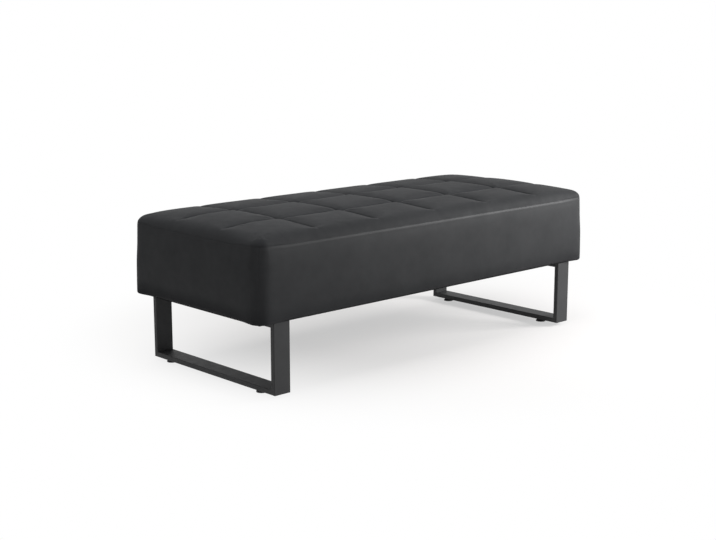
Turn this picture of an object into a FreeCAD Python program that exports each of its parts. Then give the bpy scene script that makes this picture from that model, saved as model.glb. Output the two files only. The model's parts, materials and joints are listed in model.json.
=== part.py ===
import FreeCAD
import Part
import math
import os

# Waiting room bench. Millimetres, X along the length, Y from front to rear, Z up.
# The origin is on the floor under the middle of the seat.

V = FreeCAD.Vector
os.makedirs("parts", exist_ok=True)

# Seat outline
SEAT_LENGTH = 1400.0
SEAT_DEPTH = 600.0
SEAT_CORNER_RADIUS = 34.0
SIDE_DRAFT = 2.5
BOTTOM_EDGE_RADIUS = 9.0
SEAM_HEIGHT = 206.0

# Crown of the seat top
CROWN_RISE = 44.0
SIDE_DROP = 15.0
END_DROP = 15.0
END_ROLL = 160.0
TOP_EDGE_RADIUS = 25.0

# Sewn channels of the top
CHANNEL_PITCH_X = 233.0
CHANNEL_PITCH_Y = 208.0
CHANNELS_ACROSS = 5
CHANNELS_ALONG = 2
CHANNEL_HALF_WIDTH = 30.0
CHANNEL_DEPTH = 7.0
CHANNEL_LIFT = 1.0

# Cover and padding thicknesses
COVER_THICKNESS = 1.5
TOP_PANEL_THICKNESS = 16.0
PADDING_THICKNESS = 12.0
HEM_WIDTH = 28.0
DUST_COVER_THICKNESS = 0.8
DUST_COVER_INSET = 12.0
DUST_COVER_CORNER = 22.0

# Wooden seat frame
RAIL_THICKNESS = 20.0
RAIL_HEIGHT = 90.0
MOUNTING_RAIL_WIDTH = 90.0
MOUNTING_RAIL_THICKNESS = 30.0
BRACE_THICKNESS = 20.0
BRACE_HEIGHT = 60.0
CORNER_BLOCK_LEG = 45.0
CORNER_BLOCK_GAP = 6.0
DECK_THICKNESS = 12.0

# Leg loops of flat tube
TUBE_WIDTH = 57.0
TUBE_THICKNESS = 15.0
TUBE_WALL = 1.5
TUBE_EDGE_RADIUS = 2.0
LEG_END_INSET = 63.0
LEG_SIDE_INSET = 15.5
LEG_HEIGHT = 204.0

# Leg bolts, washers and tee nuts
BOLT_DIAMETER = 8.0
BOLT_HEAD_DIAMETER = 14.0
BOLT_HEAD_HEIGHT = 4.4
BOLT_SOCKET = 5.0
BOLT_SOCKET_DEPTH = 2.6
BOLT_OVERSHOOT = 3.0
BOLTS_PER_LEG = 4
BOLT_END_DISTANCE = 59.5
WASHER_DIAMETER = 18.0
WASHER_THICKNESS = 1.6
TEE_NUT_BARREL = 10.0
TEE_NUT_LENGTH = 11.0
TEE_NUT_FLANGE = 20.0
TEE_NUT_FLANGE_THICKNESS = 1.4

# Levelling feet
PAD_DIAMETER = 32.0
PAD_TOP_DIAMETER = 22.0
PAD_RIM_HEIGHT = 3.0
PAD_HEIGHT = 7.5
PIVOT_DIAMETER = 7.0
PIVOT_DEPTH = 4.0
COLLAR_ACROSS_FLATS = 13.0
COLLAR_HEIGHT = 3.2
STUD_DIAMETER = 8.0
STUD_TOP_GAP = 1.5
INSERT_FLANGE = 15.0
INSERT_FLANGE_THICKNESS = 1.0
INSERT_BARREL = 11.0
INSERT_LENGTH = 10.0
FRONT_FOOT_INSET = 90.0
REAR_FOOT_INSET = 50.0

# Wood screws, staples and tuft ties
SCREW_DIAMETER = 4.0
SCREW_HEAD_DIAMETER = 8.0
SCREW_HEAD_HEIGHT = 2.5
DECK_SCREW_LENGTH = 40.0
FRAME_SCREW_LENGTH = 55.0
DECK_SCREWS_PER_RAIL = 7
SCREW_END_DISTANCE = 60.0
STAPLE_CROWN = 10.0
STAPLE_WIRE = 0.8
STAPLE_LEG = 7.0
STAPLE_INSET = 21.0
STAPLE_END_DISTANCE = 45.0
STAPLES_PER_LONG_SIDE = 13
STAPLES_PER_SHORT_SIDE = 5
TWINE_DIAMETER = 2.5
TOGGLE_DIAMETER = 18.0
TOGGLE_THICKNESS = 3.0
KNOT_DIAMETER = 5.0

# Fits and clearances
SOFT_CLEARANCE = 0.3
HOLE_CLEARANCE = 0.2
SCREW_FIT = 0.05
THREAD_FIT = 0.08
PIVOT_FIT = 0.08
COLLAR_GAP = 0.3

# Levels, from the floor up
foot_height = PAD_HEIGHT + COLLAR_HEIGHT + COLLAR_GAP + INSERT_FLANGE_THICKNESS
tube_bottom = foot_height
seat_bottom = foot_height + LEG_HEIGHT
hem_bottom = seat_bottom + DUST_COVER_THICKNESS
rail_bottom = hem_bottom + COVER_THICKNESS
rail_top = rail_bottom + RAIL_HEIGHT
deck_top = rail_top + DECK_THICKNESS
seam_level = seat_bottom + SEAM_HEIGHT
crown_level = seam_level + CROWN_RISE

# Plan sizes
half_length = SEAT_LENGTH / 2
half_depth = SEAT_DEPTH / 2
frame_inset = COVER_THICKNESS + PADDING_THICKNESS
frame_x = half_length - frame_inset
frame_y = half_depth - frame_inset
inner_x = frame_x - RAIL_THICKNESS
inner_y = frame_y - RAIL_THICKNESS
leg_x = half_length - LEG_END_INSET - TUBE_WIDTH / 2
leg_y = half_depth - LEG_SIDE_INSET
beyond = 40.0


def centred(count, pitch):
    return [(i - (count - 1) / 2) * pitch for i in range(count)]


def box(x0, x1, y0, y1, z0, z1):
    return Part.makeBox(x1 - x0, y1 - y0, z1 - z0, V(x0, y0, z0))


def rod(x, y, z0, z1, diameter):
    return Part.makeCylinder(diameter / 2, z1 - z0, V(x, y, z0), V(0, 0, 1))


def save(name, shape):
    shape.exportStep("parts/" + name + ".step")
    print(name, len(shape.Solids), "solids", round(shape.Volume, 1), "mm3", shape.isValid())


def save_group(name, solids):
    save(name, Part.makeCompound(solids))


def rounded_rectangle(half_x, half_y, radius, z):
    k = radius * (1 - math.sqrt(0.5))
    edges = []
    corners = [(1, -1), (1, 1), (-1, 1), (-1, -1)]
    points = []
    for sx, sy in corners:
        along_x = V(sx * (half_x - radius), sy * half_y, z)
        middle = V(sx * (half_x - k), sy * (half_y - k), z)
        along_y = V(sx * half_x, sy * (half_y - radius), z)
        if sx * sy < 0:
            points.append((along_x, middle, along_y))
        else:
            points.append((along_y, middle, along_x))
    for i in range(4):
        start, middle, end = points[i]
        edges.append(Part.Arc(start, middle, end).toShape())
        edges.append(Part.LineSegment(end, points[(i + 1) % 4][0]).toShape())
    return Part.Wire(edges)


def end_drop(x):
    share = max(0.0, (abs(x) - (half_length - END_ROLL)) / END_ROLL)
    return END_DROP * share * share


def crown_middle(x, lowered):
    return crown_level - lowered - end_drop(x)


def crown_side(x, lowered):
    return crown_level - lowered - math.hypot(SIDE_DROP, end_drop(x))


def crown_height(x, y, lowered):
    share = y / half_depth
    middle = crown_middle(x, lowered)
    return middle - (middle - crown_side(x, lowered)) * share * share


def crown_block(lowered):
    # Lofted through arcs across the seat: level in the middle, rolling down to both ends
    reach_y = half_depth + beyond
    spread = (reach_y / half_depth) ** 2
    start = half_length - END_ROLL
    stations = [0.0, start * 0.5, start, start + END_ROLL * 0.4, start + END_ROLL * 0.7, half_length + beyond / 4]
    stations = [-x for x in reversed(stations[1:])] + stations
    sections = []
    for x in stations:
        middle = crown_middle(x, lowered)
        side = middle - (middle - crown_side(x, lowered)) * spread
        a = V(x, -reach_y, side)
        b = V(x, 0, middle)
        c = V(x, reach_y, side)
        low_c = V(x, reach_y, seat_bottom - beyond)
        low_a = V(x, -reach_y, seat_bottom - beyond)
        arc = Part.Arc(a, b, c).toShape()
        down = Part.LineSegment(c, low_c).toShape()
        base = Part.LineSegment(low_c, low_a).toShape()
        up = Part.LineSegment(low_a, a).toShape()
        sections.append(Part.Wire([arc, down, base, up]))
    return Part.makeLoft(sections, True, False)


def cushion_form(side_inset, bottom, lowered, top_radius, bottom_radius):
    # Boxed cushion: sides that draw in upward, rolled top edge and crowned top
    slope = SIDE_DRAFT / SEAM_HEIGHT
    top = crown_level + beyond
    wires = []
    for z in (bottom, top):
        draw = side_inset + slope * (z - seat_bottom)
        radius = SEAT_CORNER_RADIUS - draw
        wires.append(rounded_rectangle(half_length - draw, half_depth - draw, radius, z))
    sides = Part.makeLoft(wires, True, True)
    form = sides.common(crown_block(lowered)).Solids[0]
    if bottom_radius > 0:
        low = [e for e in form.Edges if e.BoundBox.ZMax < bottom + 0.01]
        form = form.makeFillet(bottom_radius, low)
    rim = [e for e in form.Edges if e.BoundBox.ZMin > seam_level - 10 and e.BoundBox.ZLength < END_DROP + SIDE_DROP]
    return form.makeFillet(top_radius, rim)


def channel_profile(place, across, level):
    # Two rounded pad edges that meet in the sewn line
    deep = CHANNEL_DEPTH + CHANNEL_LIFT
    radius = (CHANNEL_HALF_WIDTH ** 2 + deep ** 2) / (2 * deep)
    half = math.asin(CHANNEL_HALF_WIDTH / radius) / 2
    near = CHANNEL_HALF_WIDTH - radius * math.sin(half)
    fall = radius * (1 - math.cos(half))
    rise = level + CHANNEL_LIFT
    a = place(across - CHANNEL_HALF_WIDTH, rise)
    ab = place(across - near, rise - fall)
    b = place(across, level - CHANNEL_DEPTH)
    bc = place(across + near, rise - fall)
    c = place(across + CHANNEL_HALF_WIDTH, rise)
    c_high = place(across + CHANNEL_HALF_WIDTH, rise + beyond)
    a_high = place(across - CHANNEL_HALF_WIDTH, rise + beyond)
    edges = [Part.Arc(a, ab, b).toShape(), Part.Arc(b, bc, c).toShape()]
    edges.append(Part.LineSegment(c, c_high).toShape())
    edges.append(Part.LineSegment(c_high, a_high).toShape())
    edges.append(Part.LineSegment(a_high, a).toShape())
    return Part.Wire(edges)


def channel_across(x):
    stations = [half_depth * k for k in (-1.1, -0.75, -0.4, 0.0, 0.4, 0.75, 1.1)]
    wires = []
    for y in stations:
        wires.append(channel_profile(lambda u, z, y=y: V(u, y, z), x, crown_height(x, y, 0.0)))
    return Part.makeLoft(wires, True, True)


def channel_along(y):
    start = half_length - END_ROLL
    stations = [start, start + END_ROLL * 0.5, start + END_ROLL * 1.1]
    stations = [-x for x in reversed(stations)] + stations
    wires = []
    for x in stations:
        wires.append(channel_profile(lambda u, z, x=x: V(x, u, z), y, crown_height(x, y, 0.0)))
    return Part.makeLoft(wires, True, True)


channel_xs = centred(CHANNELS_ACROSS, CHANNEL_PITCH_X)
channel_ys = centred(CHANNELS_ALONG, CHANNEL_PITCH_Y)
tuft_points = [(x, y) for x in channel_xs for y in channel_ys]

# Cover: one outer form, split at the seam into the tufted top and the four side panels
outer = cushion_form(0.0, hem_bottom, 0.0, TOP_EDGE_RADIUS, BOTTOM_EDGE_RADIUS)
inner_radius = TOP_EDGE_RADIUS - COVER_THICKNESS
inner_bottom_radius = BOTTOM_EDGE_RADIUS - COVER_THICKNESS
cavity = cushion_form(COVER_THICKNESS, rail_bottom, TOP_PANEL_THICKNESS, inner_radius, inner_bottom_radius)
far = half_length + beyond
above_seam = box(-far, far, -far, far, seam_level, crown_level + beyond)
below_seam = box(-far, far, -far, far, seat_bottom - beyond, seam_level)

tufted_top = outer.common(above_seam).cut(cavity)
for x in channel_xs:
    tufted_top = tufted_top.cut(channel_across(x))
for y in channel_ys:
    tufted_top = tufted_top.cut(channel_along(y))
save("tufted_top", tufted_top)

hem_x = half_length - HEM_WIDTH
hem_y = half_depth - HEM_WIDTH
hem_opening = box(-hem_x, hem_x, -hem_y, hem_y, hem_bottom - beyond, hem_bottom + beyond)
band = outer.common(below_seam).cut(cavity).cut(hem_opening)

# Staples: crowns under the dust cover, legs up through hem and rail
staple_spots = []
for side in (-1, 1):
    pitch = (SEAT_LENGTH - 2 * STAPLE_END_DISTANCE) / (STAPLES_PER_LONG_SIDE - 1)
    for x in centred(STAPLES_PER_LONG_SIDE, pitch):
        staple_spots.append((x, side * (half_depth - STAPLE_INSET), True))
    pitch = (SEAT_DEPTH - 2 * STAPLE_END_DISTANCE) / (STAPLES_PER_SHORT_SIDE - 1)
    for y in centred(STAPLES_PER_SHORT_SIDE, pitch):
        staple_spots.append((side * (half_length - STAPLE_INSET), y, False))


def staple_box(x, y, lengthwise, u0, u1, thick, z0, z1):
    if lengthwise:
        return box(x + u0, x + u1, y - thick / 2, y + thick / 2, z0, z1)
    return box(x - thick / 2, x + thick / 2, y + u0, y + u1, z0, z1)


staples = []
staple_holes = []
for x, y, lengthwise in staple_spots:
    half = STAPLE_CROWN / 2
    leg_top = seat_bottom + STAPLE_LEG
    solid = staple_box(x, y, lengthwise, -half, half, STAPLE_WIRE, seat_bottom - STAPLE_WIRE, seat_bottom)
    for u in (-half, half - STAPLE_WIRE):
        leg = staple_box(x, y, lengthwise, u, u + STAPLE_WIRE, STAPLE_WIRE, seat_bottom, leg_top)
        solid = solid.fuse(leg)
        wide = STAPLE_WIRE + 2 * SCREW_FIT
        hole = staple_box(x, y, lengthwise, u - SCREW_FIT, u + STAPLE_WIRE + SCREW_FIT, wide,
                          seat_bottom - STAPLE_WIRE, leg_top + SCREW_FIT)
        staple_holes.append(hole)
    staples.append(solid.removeSplitter())
save_group("dust_cover_staples", staples)


def drill(shape, holes):
    near = [h for h in holes if h.BoundBox.intersect(shape.BoundBox)]
    if near:
        return shape.cut(Part.makeCompound(near))
    return shape


def wedge(points):
    wire = Part.makePolygon([V(x, y, seat_bottom - beyond) for x, y in points + points[:1]])
    return Part.Face(wire).extrude(V(0, 0, SEAM_HEIGHT + 2 * beyond))


out_x = half_length + beyond
out_y = half_depth + beyond
ridge = half_length - half_depth
panels = {
    "front_side_panel": [(-out_x, -out_y), (out_x, -out_y), (ridge, 0), (-ridge, 0)],
    "rear_side_panel": [(out_x, out_y), (-out_x, out_y), (-ridge, 0), (ridge, 0)],
    "left_end_panel": [(-out_x, -out_y), (-ridge, 0), (-out_x, out_y)],
    "right_end_panel": [(out_x, -out_y), (out_x, out_y), (ridge, 0)],
}
for name, points in panels.items():
    save(name, drill(band.common(wedge(points)), staple_holes))

# Leg bolts through the top rails into tee nuts on the mounting rails
bolt_ys = centred(BOLTS_PER_LEG, 2 * (leg_y - BOLT_END_DISTANCE) / (BOLTS_PER_LEG - 1))
mount_top = seat_bottom + DUST_COVER_THICKNESS + MOUNTING_RAIL_THICKNESS
washer_top = seat_bottom - TUBE_THICKNESS
head_top = washer_top - WASHER_THICKNESS
head_bottom = head_top - BOLT_HEAD_HEIGHT
bolts = []
washers = []
tee_nuts = []
bolt_holes = []
tee_nut_pockets = []
for sx in (-1, 1):
    for y in bolt_ys:
        x = sx * leg_x
        hole = BOLT_DIAMETER + 2 * HOLE_CLEARANCE
        head = rod(x, y, head_bottom, head_top, BOLT_HEAD_DIAMETER)
        low = [e for e in head.Edges if e.BoundBox.ZMax < head_bottom + 0.01]
        head = head.makeFillet(BOLT_HEAD_HEIGHT * 0.6, low)
        shank = rod(x, y, head_top, mount_top + BOLT_OVERSHOOT, BOLT_DIAMETER)
        ring = [V(x + BOLT_SOCKET / math.sqrt(3) * math.cos(math.radians(a)),
                  y + BOLT_SOCKET / math.sqrt(3) * math.sin(math.radians(a)), head_bottom) for a in range(0, 361, 60)]
        socket = Part.Face(Part.makePolygon(ring)).extrude(V(0, 0, BOLT_SOCKET_DEPTH))
        bolts.append(head.fuse(shank).cut(socket).removeSplitter())
        washers.append(rod(x, y, head_top, washer_top, WASHER_DIAMETER).cut(rod(x, y, head_top, washer_top, hole)))
        barrel = rod(x, y, mount_top - TEE_NUT_LENGTH, mount_top, TEE_NUT_BARREL)
        flange = rod(x, y, mount_top, mount_top + TEE_NUT_FLANGE_THICKNESS, TEE_NUT_FLANGE)
        bore = rod(x, y, mount_top - TEE_NUT_LENGTH, mount_top + TEE_NUT_FLANGE_THICKNESS,
                   BOLT_DIAMETER + 2 * THREAD_FIT)
        tee_nuts.append(barrel.fuse(flange).cut(bore).removeSplitter())
        bolt_holes.append(rod(x, y, washer_top - 1, mount_top, hole))
        pocket = TEE_NUT_BARREL + 2 * SCREW_FIT
        tee_nut_pockets.append(rod(x, y, mount_top - TEE_NUT_LENGTH, mount_top, pocket))
save_group("leg_bolts", bolts)
save_group("leg_washers", washers)
save_group("tee_nuts", tee_nuts)

# Dust cover under the seat
outline = rounded_rectangle(half_length - DUST_COVER_INSET, half_depth - DUST_COVER_INSET, DUST_COVER_CORNER, seat_bottom)
dust_cover = Part.Face(outline).extrude(V(0, 0, DUST_COVER_THICKNESS))
dust_cover = drill(drill(dust_cover, bolt_holes), staple_holes)
save("dust_cover", dust_cover)

# Wood screws, with the holes that they need
frame_screws = []
deck_screws = []
screw_holes = []


def screw(start, direction, length):
    # Countersunk screw, its head flush with the face at start
    solids = []
    for grow in (0.0, SCREW_FIT):
        r = SCREW_DIAMETER / 2 + grow
        head = Part.makeCone(SCREW_HEAD_DIAMETER / 2 + grow, r, SCREW_HEAD_HEIGHT, start, direction)
        shank = Part.makeCylinder(r, length + grow, start, direction)
        solids.append(head.fuse(shank).removeSplitter())
    screw_holes.append(solids[1])
    return solids[0]


def end_screws(x, dx, z, dz):
    for side in (-1, 1):
        for k in (-1, 1):
            start = V(x + k * dx, side * frame_y, z + k * dz)
            frame_screws.append(screw(start, V(0, -side, 0), FRAME_SCREW_LENGTH))


brace_xs = centred(4, CHANNEL_PITCH_X)
mount_middle = hem_bottom + MOUNTING_RAIL_THICKNESS / 2
for sx in (-1, 1):
    end_screws(sx * (frame_x - RAIL_THICKNESS / 2), 0, rail_bottom + RAIL_HEIGHT / 2, RAIL_HEIGHT / 4)
    end_screws(sx * leg_x, MOUNTING_RAIL_WIDTH / 4, mount_middle, 0)
for x in brace_xs:
    end_screws(x, 0, rail_top - BRACE_HEIGHT / 2, BRACE_HEIGHT / 4)
deck_screw_pitch = (SEAT_LENGTH - 4 * SCREW_END_DISTANCE) / (DECK_SCREWS_PER_RAIL - 1)
for x in centred(DECK_SCREWS_PER_RAIL, deck_screw_pitch):
    for side in (-1, 1):
        start = V(x, side * (frame_y - RAIL_THICKNESS / 2), deck_top)
        deck_screws.append(screw(start, V(0, 0, -1), DECK_SCREW_LENGTH))
save_group("frame_screws", frame_screws)
save_group("deck_screws", deck_screws)

# Wooden frame
wood_holes = screw_holes + staple_holes
for name, side in (("front_rail", -1), ("rear_rail", 1)):
    y0, y1 = sorted((side * frame_y, side * inner_y))
    save(name, drill(box(-frame_x, frame_x, y0, y1, rail_bottom, rail_top), wood_holes))
for name, side in (("left_end_rail", -1), ("right_end_rail", 1)):
    x0, x1 = sorted((side * frame_x, side * inner_x))
    save(name, drill(box(x0, x1, -inner_y, inner_y, rail_bottom, rail_top), wood_holes))
for name, side in (("left_mounting_rail", -1), ("right_mounting_rail", 1)):
    half = MOUNTING_RAIL_WIDTH / 2
    rail = box(side * leg_x - half, side * leg_x + half, -inner_y, inner_y, hem_bottom, mount_top)
    save(name, drill(drill(drill(rail, bolt_holes), tee_nut_pockets), screw_holes))
for i, x in enumerate(brace_xs):
    half = BRACE_THICKNESS / 2
    brace = box(x - half, x + half, -inner_y, inner_y, rail_top - BRACE_HEIGHT, rail_top)
    save("cross_brace_" + str(i + 1), drill(brace, screw_holes))
blocks = []
for sx in (-1, 1):
    for sy in (-1, 1):
        z = mount_top + CORNER_BLOCK_GAP
        a = V(sx * inner_x, sy * inner_y, z)
        b = V(sx * (inner_x - CORNER_BLOCK_LEG), sy * inner_y, z)
        c = V(sx * inner_x, sy * (inner_y - CORNER_BLOCK_LEG), z)
        block = Part.Face(Part.makePolygon([a, b, c, a])).extrude(V(0, 0, rail_top - z))
        blocks.append(drill(block, screw_holes))
save_group("corner_blocks", blocks)

# Tuft ties from the top panel down through foam and deck
twines = []
toggles = []
twine_holes = []
for x, y in tuft_points:
    top = crown_height(x, y, TOP_PANEL_THICKNESS) - SOFT_CLEARANCE
    toggle_bottom = rail_top - TOGGLE_THICKNESS
    knot = Part.makeSphere(KNOT_DIAMETER / 2, V(x, y, toggle_bottom - KNOT_DIAMETER / 2))
    cord = rod(x, y, toggle_bottom - KNOT_DIAMETER / 2, top, TWINE_DIAMETER)
    twines.append(cord.fuse(knot).removeSplitter())
    clear = TWINE_DIAMETER + 2 * HOLE_CLEARANCE
    twine_holes.append(rod(x, y, toggle_bottom, crown_level, clear))
    toggle = rod(x, y, toggle_bottom, rail_top, TOGGLE_DIAMETER)
    toggles.append(toggle.cut(twine_holes[-1]))
save_group("tuft_twines", twines)
save_group("tuft_toggles", toggles)

# Deck, foam and side padding
deck = box(-frame_x, frame_x, -frame_y, frame_y, rail_top, deck_top)
save("deck_panel", drill(drill(deck, screw_holes), twine_holes))

soft_inset = COVER_THICKNESS + SOFT_CLEARANCE
soft_bottom = rail_bottom + SOFT_CLEARANCE
soft_top = TOP_PANEL_THICKNESS + SOFT_CLEARANCE
soft_low_radius = inner_bottom_radius + SOFT_CLEARANCE
filling = cushion_form(soft_inset, soft_bottom, soft_top, inner_radius, soft_low_radius)
foam = filling.common(box(-far, far, -far, far, deck_top, crown_level + beyond))
save("foam_core", drill(foam, twine_holes))
frame_box = box(-frame_x, frame_x, -frame_y, frame_y, seat_bottom - beyond, deck_top)
padding = filling.common(box(-far, far, -far, far, soft_bottom, deck_top)).cut(frame_box)
save("side_padding", padding)


# Leg loops: four mitred flat tubes each
def tube_blank(length):
    # Along X, from 0 to length, lying on Z = 0
    outlines = []
    for shrink in (0.0, TUBE_WALL):
        radius = max(TUBE_EDGE_RADIUS - shrink, 0.4)
        wire = rounded_rectangle(TUBE_WIDTH / 2 - shrink, TUBE_THICKNESS / 2 - shrink, radius, 0)
        outlines.append(Part.Face(wire))
    tube = outlines[0].cut(outlines[1]).extrude(V(0, 0, length))
    tube.translate(V(0, TUBE_THICKNESS / 2, 0))
    return tube


def mitred(length):
    # Wide side across X, length along Z from 0, outer face at Y = 0, both ends mitred inward
    tube = tube_blank(length)
    far_x = TUBE_WIDTH
    side = [V(-far_x, 0, 0), V(-far_x, 0, length), V(-far_x, TUBE_THICKNESS, length - TUBE_THICKNESS)]
    side = side + [V(-far_x, TUBE_THICKNESS, TUBE_THICKNESS)]
    keep = Part.Face(Part.makePolygon(side + side[:1])).extrude(V(2 * far_x, 0, 0))
    return tube.common(keep)


insert_hole = INSERT_BARREL + 2 * SCREW_FIT
foot_spots = {
    "front_left": (-leg_x, -leg_y + FRONT_FOOT_INSET),
    "front_right": (leg_x, -leg_y + FRONT_FOOT_INSET),
    "rear_left": (-leg_x, leg_y - REAR_FOOT_INSET),
    "rear_right": (leg_x, leg_y - REAR_FOOT_INSET),
}
insert_holes = [rod(x, y, tube_bottom - 1, tube_bottom + 2 * TUBE_WALL, insert_hole) for x, y in foot_spots.values()]
for name, sx in (("left", -1), ("right", 1)):
    front = mitred(LEG_HEIGHT)
    front.translate(V(sx * leg_x, -leg_y, tube_bottom))
    save(name + "_front_upright", front)
    rear = mitred(LEG_HEIGHT)
    rear.rotate(V(0, 0, 0), V(0, 0, 1), 180)
    rear.translate(V(sx * leg_x, leg_y, tube_bottom))
    save(name + "_rear_upright", rear)
    bottom = mitred(2 * leg_y)
    bottom.rotate(V(0, 0, 0), V(1, 0, 0), 90)
    bottom.translate(V(sx * leg_x, leg_y, tube_bottom))
    save(name + "_bottom_rail", drill(bottom, insert_holes))
    top = mitred(2 * leg_y)
    top.rotate(V(0, 0, 0), V(1, 0, 0), -90)
    top.translate(V(sx * leg_x, -leg_y, seat_bottom))
    save(name + "_top_rail", drill(top, bolt_holes))

# Levelling feet: pad, stud with hexagon collar, and threaded insert in the rail
inserts = []
collar_bottom = PAD_HEIGHT
collar_top = collar_bottom + COLLAR_HEIGHT
stud_top = tube_bottom + TUBE_THICKNESS - TUBE_WALL - STUD_TOP_GAP
for name, (x, y) in foot_spots.items():
    rim = rod(x, y, 0, PAD_RIM_HEIGHT, PAD_DIAMETER)
    cone = Part.makeCone(PAD_DIAMETER / 2, PAD_TOP_DIAMETER / 2, PAD_HEIGHT - PAD_RIM_HEIGHT, V(x, y, PAD_RIM_HEIGHT))
    socket = rod(x, y, PAD_HEIGHT - PIVOT_DEPTH - PIVOT_FIT, PAD_HEIGHT, PIVOT_DIAMETER + 2 * PIVOT_FIT)
    save(name + "_foot_pad", rim.fuse(cone).cut(socket).removeSplitter())
    pivot = rod(x, y, PAD_HEIGHT - PIVOT_DEPTH, collar_bottom, PIVOT_DIAMETER)
    radius = COLLAR_ACROSS_FLATS / math.sqrt(3)
    ring = [V(x + radius * math.cos(math.radians(a)), y + radius * math.sin(math.radians(a)), collar_bottom)
            for a in range(0, 361, 60)]
    collar = Part.Face(Part.makePolygon(ring)).extrude(V(0, 0, COLLAR_HEIGHT))
    shank = rod(x, y, collar_top, stud_top, STUD_DIAMETER)
    save(name + "_foot_stud", collar.fuse(pivot).fuse(shank).removeSplitter())
    flange = rod(x, y, tube_bottom - INSERT_FLANGE_THICKNESS, tube_bottom, INSERT_FLANGE)
    barrel = rod(x, y, tube_bottom, tube_bottom + INSERT_LENGTH, INSERT_BARREL)
    bore = rod(x, y, tube_bottom - INSERT_FLANGE_THICKNESS, tube_bottom + INSERT_LENGTH, STUD_DIAMETER + 2 * THREAD_FIT)
    inserts.append(flange.fuse(barrel).cut(bore).removeSplitter())
save_group("foot_inserts", inserts)
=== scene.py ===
import json
import math

import bpy
import numpy as np
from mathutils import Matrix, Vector, noise

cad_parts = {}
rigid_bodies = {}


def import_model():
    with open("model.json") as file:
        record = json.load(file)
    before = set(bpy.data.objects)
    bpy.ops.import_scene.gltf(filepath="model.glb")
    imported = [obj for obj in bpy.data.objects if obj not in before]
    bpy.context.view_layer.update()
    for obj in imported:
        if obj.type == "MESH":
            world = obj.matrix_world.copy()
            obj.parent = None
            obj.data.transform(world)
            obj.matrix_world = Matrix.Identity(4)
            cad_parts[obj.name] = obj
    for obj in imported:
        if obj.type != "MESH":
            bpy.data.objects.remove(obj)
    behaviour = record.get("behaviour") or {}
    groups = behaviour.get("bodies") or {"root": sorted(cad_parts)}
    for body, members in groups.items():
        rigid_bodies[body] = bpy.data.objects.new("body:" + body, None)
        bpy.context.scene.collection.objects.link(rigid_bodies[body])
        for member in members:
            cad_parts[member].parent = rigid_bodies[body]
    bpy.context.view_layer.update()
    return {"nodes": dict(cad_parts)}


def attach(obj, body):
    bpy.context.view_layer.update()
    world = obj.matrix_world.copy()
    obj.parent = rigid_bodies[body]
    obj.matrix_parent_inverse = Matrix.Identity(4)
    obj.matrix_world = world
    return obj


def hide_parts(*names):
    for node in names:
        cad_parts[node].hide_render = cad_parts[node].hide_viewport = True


for thing in list(bpy.data.objects):
    bpy.data.objects.remove(thing, do_unlink=True)

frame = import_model()
scene = bpy.context.scene
scene.view_settings.view_transform = "Standard"

# Seat and its cover panels, in metres; levels are heights above the floor
HALF_LENGTH = 0.700
HALF_DEPTH = 0.300
CORNER_RADIUS = 0.034
WIDER_LOW = 0.0030
WIDER_HIGH = 0.0082
WIDER_LEVEL = 0.305
WIDER_HEIGHT = 0.070
CORNER_REACH = 0.09
CORNER_EASE = 0.10
FOOT_INSET = 0.0012
DRAFT = 0.0046
HEM_LEVEL = 0.2168
HEM_WIDTH = 0.028
BOTTOM_ROUND = 0.014
CORNER_ROUND = 0.006
LOWER_ROLL = 0.0034
LOWER_ROLL_HEIGHT = 0.045
PANEL_TOP = 0.4257
PANEL_THICKNESS = 0.0013
PANEL_BULGE = 0.0022
PANEL_WAVE = 0.0006
PANEL_PRESS_LIMIT = 0.0009
PANEL_PRESSURE = 3.0
SEAM_LEAN = 0.0011
SEAM_LEAN_HEIGHT = 0.010
LIP = 0.0009
FLANGE_DROP = 0.0003
FLANGE_STEPS = (0.0015, 0.0035, 0.0055)
GROOVE_WIDTH = 0.0024
GROOVE_DEPTH = 0.0005

# Quilted top
CROWN_LEVEL = 0.4684
EDGE_DROP = 0.015
END_DROP = 0.018
END_ROLL = 0.160
EDGE_ROLL = 0.028
RIM_LEVEL = 0.4268
RIM_START = 0.05
CORNER_LIFT = 0.006
TOP_GAP = 0.0012
TOP_THICKNESS = 0.016
TOP_RINGS = [(0.0003, 0.42664), (0.0009, 0.42655), (0.0030, 0.4265), (0.0065, 0.4265)]
TOP_PRESS_LIMIT = 0.0040
TOP_PRESSURE = 4.0
UNDER_LEVEL = 0.4216
UNDER_INSET = 0.0125
UNDER_ROLL = 0.026
CHANNEL_X = [-0.466, -0.233, 0.0, 0.233, 0.466]
CHANNEL_Y = [-0.104, 0.104]
CHANNEL_HALF_WIDTH = 0.026
CHANNEL_DEPTH = 0.0062
CHANNEL_END = 0.012
CHANNEL_FADE = 0.046
SEWN_HALF_WIDTH = 0.0012
SEWN_WIDTH = 0.0034
SEWN_DEPTH = 0.0026
TUFT_WIDTH = 0.017
TUFT_DEPTH = 0.0034
GATHER_WIDTH = 0.022
GATHER_START = 0.006
GATHER_HEIGHT = 0.0007
PINCH_WIDTH = 0.009
PINCH_INSIDE = 0.020
PINCH_LENGTH = 0.010
PINCH_DEPTH = 0.0005
STITCH_PITCH = 0.0050
STITCH_MARGIN = 0.004
STITCH_HALF_LENGTH = 0.0018
STITCH_RISE = 0.0003
STITCH_HALF_WIDTH = 0.00045
STITCH_HALF_HEIGHT = 0.00035

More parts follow.
